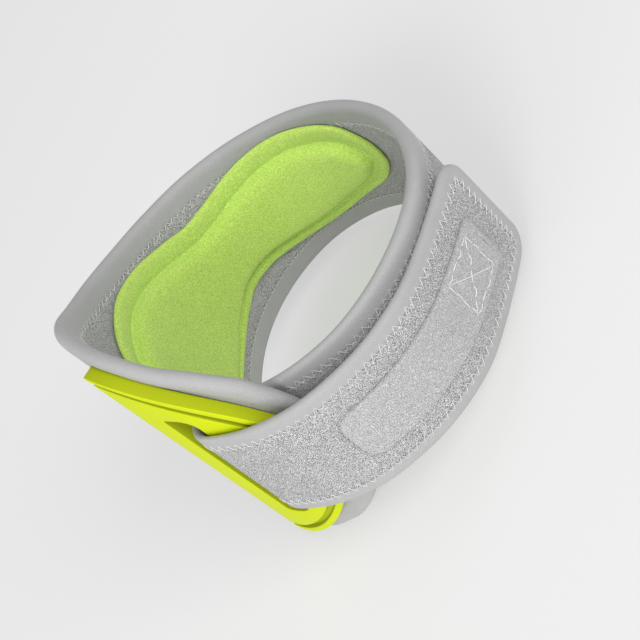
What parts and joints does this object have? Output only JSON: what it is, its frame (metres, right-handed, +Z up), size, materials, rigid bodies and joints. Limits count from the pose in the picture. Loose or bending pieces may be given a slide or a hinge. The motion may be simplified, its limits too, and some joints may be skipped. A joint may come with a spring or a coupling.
{
  "type": "elbow brace",
  "caption": "Padded forearm cuff with a domed pressure pad inside; its strap end threads a slotted curved buckle plate and folds back to fasten on the cuff.",
  "frame": {"origin": "middle of the bounding box, on the floor it rests on", "axes": "+Z up from the floor; +X from the buckle side to the plain side; +Y from the folded-back strap to the padded wall"},
  "size_m": [0.1124, 0.1022, 0.0923],
  "materials": {
    "cuff_band": "brushed loop fabric over foam, speckled light grey",
    "edge_binding": "smooth stretch binding tape, light grey",
    "buckle_plate": "satin moulded plastic, fluorescent yellow",
    "pressure_pad": "velour over moulded foam, lime green",
    "label_patch": "smooth bonded patch, light grey, left bare"
  },
  "bodies": {
    "root": {"cuff_band": "cuff_band", "edge_binding": "edge_binding", "buckle_plate": "buckle_plate", "pressure_pad": "pressure_pad", "label_patch": "label_patch"}
  },
  "joints": []
}
